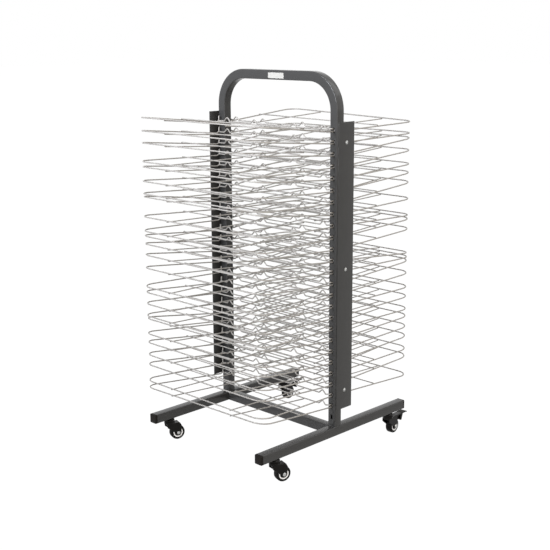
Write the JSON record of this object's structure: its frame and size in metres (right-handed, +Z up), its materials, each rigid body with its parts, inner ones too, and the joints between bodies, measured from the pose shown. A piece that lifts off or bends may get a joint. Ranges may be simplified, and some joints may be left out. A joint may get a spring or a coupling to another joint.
{
  "type": "art drying rack",
  "caption": "Double-sided mobile drying rack: tilting wire shelves hooked on a bent square-tube frame with a handle, on swivel castors.",
  "frame": {"origin": "on the floor below the middle of the whole rack, 9.9 mm behind the middle of the posts", "axes": "+Z up, +X from the left post to the right post, +Y along the feet to the rear"},
  "size_m": [0.4995, 0.6596, 1.1085],
  "materials": {
    "powder_coat": "dark grey fine-textured powder coat",
    "wire": "satin plated wire",
    "black_plastic": "black moulded plastic",
    "tyre": "black tread round a grey hub"
  },
  "bodies": {
    "frame": {"handle_frame": "powder_coat", "foot_left": "powder_coat", "foot_right": "powder_coat", "crossbar": "powder_coat", "side_plate_left": "powder_coat", "side_plate_right": "powder_coat", "end_cap_front_left": "black_plastic", "end_cap_front_right": "black_plastic", "end_cap_rear_left": "black_plastic", "end_cap_rear_right": "black_plastic", "shelf_bank_front": "wire", "shelf_bank_rear": "wire"},
    "shelf_front_01": {"shelf_front_01": "wire"},
    "shelf_front_02": {"shelf_front_02": "wire"},
    "shelf_front_03": {"shelf_front_03": "wire"},
    "shelf_front_04": {"shelf_front_04": "wire"},
    "shelf_front_05": {"shelf_front_05": "wire"},
    "shelf_front_06": {"shelf_front_06": "wire"},
    "shelf_front_07": {"shelf_front_07": "wire"},
    "shelf_front_08": {"shelf_front_08": "wire"},
    "shelf_front_09": {"shelf_front_09": "wire"},
    "shelf_front_10": {"shelf_front_10": "wire"},
    "shelf_front_11": {"shelf_front_11": "wire"},
    "shelf_front_12": {"shelf_front_12": "wire"},
    "shelf_front_13": {"shelf_front_13": "wire"},
    "shelf_front_14": {"shelf_front_14": "wire"},
    "shelf_front_15": {"shelf_front_15": "wire"},
    "shelf_front_16": {"shelf_front_16": "wire"},
    "shelf_front_17": {"shelf_front_17": "wire"},
    "shelf_front_18": {"shelf_front_18": "wire"},
    "shelf_front_19": {"shelf_front_19": "wire"},
    "shelf_rear_01": {"shelf_rear_01": "wire"},
    "shelf_rear_02": {"shelf_rear_02": "wire"},
    "shelf_rear_03": {"shelf_rear_03": "wire"},
    "shelf_rear_04": {"shelf_rear_04": "wire"},
    "shelf_rear_05": {"shelf_rear_05": "wire"},
    "shelf_rear_06": {"shelf_rear_06": "wire"},
    "shelf_rear_07": {"shelf_rear_07": "wire"},
    "shelf_rear_08": {"shelf_rear_08": "wire"},
    "shelf_rear_09": {"shelf_rear_09": "wire"},
    "shelf_rear_10": {"shelf_rear_10": "wire"},
    "shelf_rear_11": {"shelf_rear_11": "wire"},
    "shelf_rear_12": {"shelf_rear_12": "wire"},
    "shelf_rear_13": {"shelf_rear_13": "wire"},
    "shelf_rear_14": {"shelf_rear_14": "wire"},
    "shelf_rear_15": {"shelf_rear_15": "wire"},
    "shelf_rear_16": {"shelf_rear_16": "wire"},
    "shelf_rear_17": {"shelf_rear_17": "wire"},
    "shelf_rear_18": {"shelf_rear_18": "wire"},
    "shelf_rear_19": {"shelf_rear_19": "wire"},
    "castor_fork_front_left": {"castor_fork_front_left": "black_plastic"},
    "castor_wheel_front_left": {"castor_wheel_front_left": "tyre"},
    "castor_fork_front_right": {"castor_fork_front_right": "black_plastic"},
    "castor_wheel_front_right": {"castor_wheel_front_right": "tyre"},
    "castor_fork_rear_left": {"castor_fork_rear_left": "black_plastic"},
    "castor_wheel_rear_left": {"castor_wheel_rear_left": "tyre"},
    "brake_pedal_left": {"brake_pedal_left": "black_plastic"},
    "castor_fork_rear_right": {"castor_fork_rear_right": "black_plastic"},
    "castor_wheel_rear_right": {"castor_wheel_rear_right": "tyre"},
    "brake_pedal_right": {"brake_pedal_right": "black_plastic"}
  },
  "joints": [
    {"name": "shelf_front_01_lift", "type": "hinge", "parent": "frame", "child": "shelf_front_01", "pos_m": [0, -0.02367, 0.956], "axis": [-1, 0, 0], "range_deg": [0, 20.92]},
    {"name": "shelf_front_02_lift", "type": "hinge", "parent": "frame", "child": "shelf_front_02", "pos_m": [0, -0.02367, 0.923], "axis": [-1, 0, 0], "range_deg": [0, 21.72]},
    {"name": "shelf_front_03_lift", "type": "hinge", "parent": "frame", "child": "shelf_front_03", "pos_m": [0, -0.02367, 0.89], "axis": [-1, 0, 0], "range_deg": [0, 21.91]},
    {"name": "shelf_front_04_lift", "type": "hinge", "parent": "frame", "child": "shelf_front_04", "pos_m": [0, -0.02367, 0.857], "axis": [-1, 0, 0], "range_deg": [0, 25.68]},
    {"name": "shelf_front_05_lift", "type": "hinge", "parent": "frame", "child": "shelf_front_05", "pos_m": [0, -0.02367, 0.824], "axis": [-1, 0, 0], "range_deg": [0, 22.29]},
    {"name": "shelf_front_06_lift", "type": "hinge", "parent": "frame", "child": "shelf_front_06", "pos_m": [0, -0.02367, 0.791], "axis": [-1, 0, 0], "range_deg": [0, 23.8]},
    {"name": "shelf_front_07_lift", "type": "hinge", "parent": "frame", "child": "shelf_front_07", "pos_m": [0, -0.02367, 0.758], "axis": [-1, 0, 0], "range_deg": [0, 24.41]},
    {"name": "shelf_front_08_lift", "type": "hinge", "parent": "frame", "child": "shelf_front_08", "pos_m": [0, -0.02367, 0.725], "axis": [-1, 0, 0], "range_deg": [0, 19.79]},
    {"name": "shelf_front_09_lift", "type": "hinge", "parent": "frame", "child": "shelf_front_09", "pos_m": [0, -0.02367, 0.692], "axis": [-1, 0, 0], "range_deg": [0, 24.41]},
    {"name": "shelf_front_10_lift", "type": "hinge", "parent": "frame", "child": "shelf_front_10", "pos_m": [0, -0.02367, 0.659], "axis": [-1, 0, 0], "range_deg": [0, 26.1]},
    {"name": "shelf_front_11_lift", "type": "hinge", "parent": "frame", "child": "shelf_front_11", "pos_m": [0, -0.02367, 0.626], "axis": [-1, 0, 0], "range_deg": [0, 22.62]},
    {"name": "shelf_front_12_lift", "type": "hinge", "parent": "frame", "child": "shelf_front_12", "pos_m": [0, -0.02367, 0.593], "axis": [-1, 0, 0], "range_deg": [0, 20.78]},
    {"name": "shelf_front_13_lift", "type": "hinge", "parent": "frame", "child": "shelf_front_13", "pos_m": [0, -0.02367, 0.56], "axis": [-1, 0, 0], "range_deg": [0, 20.69]},
    {"name": "shelf_front_14_lift", "type": "hinge", "parent": "frame", "child": "shelf_front_14", "pos_m": [0, -0.02367, 0.527], "axis": [-1, 0, 0], "range_deg": [0, 21.72]},
    {"name": "shelf_front_15_lift", "type": "hinge", "parent": "frame", "child": "shelf_front_15", "pos_m": [0, -0.02367, 0.494], "axis": [-1, 0, 0], "range_deg": [0, 26.01]},
    {"name": "shelf_front_16_lift", "type": "hinge", "parent": "frame", "child": "shelf_front_16", "pos_m": [0, -0.02367, 0.461], "axis": [-1, 0, 0], "range_deg": [0, 23]},
    {"name": "shelf_front_17_lift", "type": "hinge", "parent": "frame", "child": "shelf_front_17", "pos_m": [0, -0.02367, 0.428], "axis": [-1, 0, 0], "range_deg": [0, 23.28]},
    {"name": "shelf_front_18_lift", "type": "hinge", "parent": "frame", "child": "shelf_front_18", "pos_m": [0, -0.02367, 0.395], "axis": [-1, 0, 0], "range_deg": [0, 23.89]},
    {"name": "shelf_front_19_lift", "type": "hinge", "parent": "frame", "child": "shelf_front_19", "pos_m": [0, -0.02367, 0.362], "axis": [-1, 0, 0], "range_deg": [0, 19.22]},
    {"name": "shelf_rear_01_lift", "type": "hinge", "parent": "frame", "child": "shelf_rear_01", "pos_m": [0, 0.00383, 0.956], "axis": [1, 0, 0], "range_deg": [0, 25.49]},
    {"name": "shelf_rear_02_lift", "type": "hinge", "parent": "frame", "child": "shelf_rear_02", "pos_m": [0, 0.00383, 0.923], "axis": [1, 0, 0], "range_deg": [0, 25.49]},
    {"name": "shelf_rear_03_lift", "type": "hinge", "parent": "frame", "child": "shelf_rear_03", "pos_m": [0, 0.00383, 0.89], "axis": [1, 0, 0], "range_deg": [0, 21.82]},
    {"name": "shelf_rear_04_lift", "type": "hinge", "parent": "frame", "child": "shelf_rear_04", "pos_m": [0, 0.00383, 0.857], "axis": [1, 0, 0], "range_deg": [0, 22.38]},
    {"name": "shelf_rear_05_lift", "type": "hinge", "parent": "frame", "child": "shelf_rear_05", "pos_m": [0, 0.00383, 0.824], "axis": [1, 0, 0], "range_deg": [0, 23.8]},
    {"name": "shelf_rear_06_lift", "type": "hinge", "parent": "frame", "child": "shelf_rear_06", "pos_m": [0, 0.00383, 0.791], "axis": [1, 0, 0], "range_deg": [0, 22.29]},
    {"name": "shelf_rear_07_lift", "type": "hinge", "parent": "frame", "child": "shelf_rear_07", "pos_m": [0, 0.00383, 0.758], "axis": [1, 0, 0], "range_deg": [0, 21.49]},
    {"name": "shelf_rear_08_lift", "type": "hinge", "parent": "frame", "child": "shelf_rear_08", "pos_m": [0, 0.00383, 0.725], "axis": [1, 0, 0], "range_deg": [0, 24.6]},
    {"name": "shelf_rear_09_lift", "type": "hinge", "parent": "frame", "child": "shelf_rear_09", "pos_m": [0, 0.00383, 0.692], "axis": [1, 0, 0], "range_deg": [0, 27.8]},
    {"name": "shelf_rear_10_lift", "type": "hinge", "parent": "frame", "child": "shelf_rear_10", "pos_m": [0, 0.00383, 0.659], "axis": [1, 0, 0], "range_deg": [0, 23.51]},
    {"name": "shelf_rear_11_lift", "type": "hinge", "parent": "frame", "child": "shelf_rear_11", "pos_m": [0, 0.00383, 0.626], "axis": [1, 0, 0], "range_deg": [0, 23]},
    {"name": "shelf_rear_12_lift", "type": "hinge", "parent": "frame", "child": "shelf_rear_12", "pos_m": [0, 0.00383, 0.593], "axis": [1, 0, 0], "range_deg": [0, 30.81]},
    {"name": "shelf_rear_13_lift", "type": "hinge", "parent": "frame", "child": "shelf_rear_13", "pos_m": [0, 0.00383, 0.56], "axis": [1, 0, 0], "range_deg": [0, 26.81]},
    {"name": "shelf_rear_14_lift", "type": "hinge", "parent": "frame", "child": "shelf_rear_14", "pos_m": [0, 0.00383, 0.527], "axis": [1, 0, 0], "range_deg": [0, 22.48]},
    {"name": "shelf_rear_15_lift", "type": "hinge", "parent": "frame", "child": "shelf_rear_15", "pos_m": [0, 0.00383, 0.494], "axis": [1, 0, 0], "range_deg": [0, 23.51]},
    {"name": "shelf_rear_16_lift", "type": "hinge", "parent": "frame", "child": "shelf_rear_16", "pos_m": [0, 0.00383, 0.461], "axis": [1, 0, 0], "range_deg": [0, 25.49]},
    {"name": "shelf_rear_17_lift", "type": "hinge", "parent": "frame", "child": "shelf_rear_17", "pos_m": [0, 0.00383, 0.428], "axis": [1, 0, 0], "range_deg": [0, 24.78]},
    {"name": "shelf_rear_18_lift", "type": "hinge", "parent": "frame", "child": "shelf_rear_18", "pos_m": [0, 0.00383, 0.395], "axis": [1, 0, 0], "range_deg": [0, 25.91]},
    {"name": "shelf_rear_19_lift", "type": "hinge", "parent": "frame", "child": "shelf_rear_19", "pos_m": [0, 0.00383, 0.362], "axis": [1, 0, 0], "range_deg": [0, 23.79]},
    {"name": "castor_front_left_swivel", "type": "hinge", "parent": "frame", "child": "castor_fork_front_left", "pos_m": [-0.225, -0.25892, 0.06], "axis": [0, 0, 1], "continuous": true},
    {"name": "castor_front_left_roll", "type": "hinge", "parent": "castor_fork_front_left", "child": "castor_wheel_front_left", "pos_m": [-0.21758, -0.23609, 0.0225], "axis": [0.9511, -0.309, 0], "continuous": true},
    {"name": "castor_front_right_swivel", "type": "hinge", "parent": "frame", "child": "castor_fork_front_right", "pos_m": [0.225, -0.25892, 0.06], "axis": [0, 0, 1], "continuous": true},
    {"name": "castor_front_right_roll", "type": "hinge", "parent": "castor_fork_front_right", "child": "castor_wheel_front_right", "pos_m": [0.23242, -0.23609, 0.0225], "axis": [0.9511, -0.309, 0], "continuous": true},
    {"name": "castor_rear_left_swivel", "type": "hinge", "parent": "frame", "child": "castor_fork_rear_left", "pos_m": [-0.225, 0.23808, 0.06], "axis": [0, 0, 1], "continuous": true},
    {"name": "castor_rear_left_roll", "type": "hinge", "parent": "castor_fork_rear_left", "child": "castor_wheel_rear_left", "pos_m": [-0.22688, 0.26201, 0.0225], "axis": [0.9969, 0.0785, 0], "continuous": true},
    {"name": "brake_pedal_left_rock", "type": "hinge", "parent": "castor_fork_rear_left", "child": "brake_pedal_left", "pos_m": [-0.22784, 0.27417, 0.052], "axis": [0.9969, 0.0785, 0], "range_deg": [0, 15]},
    {"name": "castor_rear_right_swivel", "type": "hinge", "parent": "frame", "child": "castor_fork_rear_right", "pos_m": [0.225, 0.23808, 0.06], "axis": [0, 0, 1], "continuous": true},
    {"name": "castor_rear_right_roll", "type": "hinge", "parent": "castor_fork_rear_right", "child": "castor_wheel_rear_right", "pos_m": [0.22312, 0.26201, 0.0225], "axis": [0.9969, 0.0785, 0], "continuous": true},
    {"name": "brake_pedal_right_rock", "type": "hinge", "parent": "castor_fork_rear_right", "child": "brake_pedal_right", "pos_m": [0.22216, 0.27417, 0.052], "axis": [0.9969, 0.0785, 0], "range_deg": [0, 15]}
  ],
  "couplings": [
    {"joint": "shelf_front_01_lift", "follows": "shelf_front_19_lift", "ratio": 1.0833},
    {"joint": "shelf_front_02_lift", "follows": "shelf_front_19_lift", "ratio": 1.1249},
    {"joint": "shelf_front_03_lift", "follows": "shelf_front_19_lift", "ratio": 1.1347},
    {"joint": "shelf_front_04_lift", "follows": "shelf_front_19_lift", "ratio": 1.3308},
    {"joint": "shelf_front_05_lift", "follows": "shelf_front_19_lift", "ratio": 1.1543},
    {"joint": "shelf_front_06_lift", "follows": "shelf_front_19_lift", "ratio": 1.2328},
    {"joint": "shelf_front_07_lift", "follows": "shelf_front_19_lift", "ratio": 1.2646},
    {"joint": "shelf_front_08_lift", "follows": "shelf_front_19_lift", "ratio": 1.0245},
    {"joint": "shelf_front_09_lift", "follows": "shelf_front_19_lift", "ratio": 1.2646},
    {"joint": "shelf_front_10_lift", "follows": "shelf_front_19_lift", "ratio": 1.3528},
    {"joint": "shelf_front_11_lift", "follows": "shelf_front_19_lift", "ratio": 1.1715},
    {"joint": "shelf_front_12_lift", "follows": "shelf_front_19_lift", "ratio": 1.0759},
    {"joint": "shelf_front_13_lift", "follows": "shelf_front_19_lift", "ratio": 1.0711},
    {"joint": "shelf_front_14_lift", "follows": "shelf_front_19_lift", "ratio": 1.1249},
    {"joint": "shelf_front_15_lift", "follows": "shelf_front_19_lift", "ratio": 1.3479},
    {"joint": "shelf_front_16_lift", "follows": "shelf_front_19_lift", "ratio": 1.1911},
    {"joint": "shelf_front_17_lift", "follows": "shelf_front_19_lift", "ratio": 1.2058},
    {"joint": "shelf_front_18_lift", "follows": "shelf_front_19_lift", "ratio": 1.2377},
    {"joint": "shelf_rear_01_lift", "follows": "shelf_rear_19_lift", "ratio": 1.0673},
    {"joint": "shelf_rear_02_lift", "follows": "shelf_rear_19_lift", "ratio": 1.0673},
    {"joint": "shelf_rear_03_lift", "follows": "shelf_rear_19_lift", "ratio": 0.9129},
    {"joint": "shelf_rear_04_lift", "follows": "shelf_rear_19_lift", "ratio": 0.93665},
    {"joint": "shelf_rear_05_lift", "follows": "shelf_rear_19_lift", "ratio": 0.99604},
    {"joint": "shelf_rear_06_lift", "follows": "shelf_rear_19_lift", "ratio": 0.93269},
    {"joint": "shelf_rear_07_lift", "follows": "shelf_rear_19_lift", "ratio": 0.89904},
    {"joint": "shelf_rear_08_lift", "follows": "shelf_rear_19_lift", "ratio": 1.0297},
    {"joint": "shelf_rear_09_lift", "follows": "shelf_rear_19_lift", "ratio": 1.1643},
    {"joint": "shelf_rear_10_lift", "follows": "shelf_rear_19_lift", "ratio": 0.98416},
    {"joint": "shelf_rear_11_lift", "follows": "shelf_rear_19_lift", "ratio": 0.96239},
    {"joint": "shelf_rear_12_lift", "follows": "shelf_rear_19_lift", "ratio": 1.291},
    {"joint": "shelf_rear_13_lift", "follows": "shelf_rear_19_lift", "ratio": 1.1227},
    {"joint": "shelf_rear_14_lift", "follows": "shelf_rear_19_lift", "ratio": 0.94061},
    {"joint": "shelf_rear_15_lift", "follows": "shelf_rear_19_lift", "ratio": 0.98416},
    {"joint": "shelf_rear_16_lift", "follows": "shelf_rear_19_lift", "ratio": 1.0673},
    {"joint": "shelf_rear_17_lift", "follows": "shelf_rear_19_lift", "ratio": 1.0376},
    {"joint": "shelf_rear_18_lift", "follows": "shelf_rear_19_lift", "ratio": 1.0851}
  ]
}
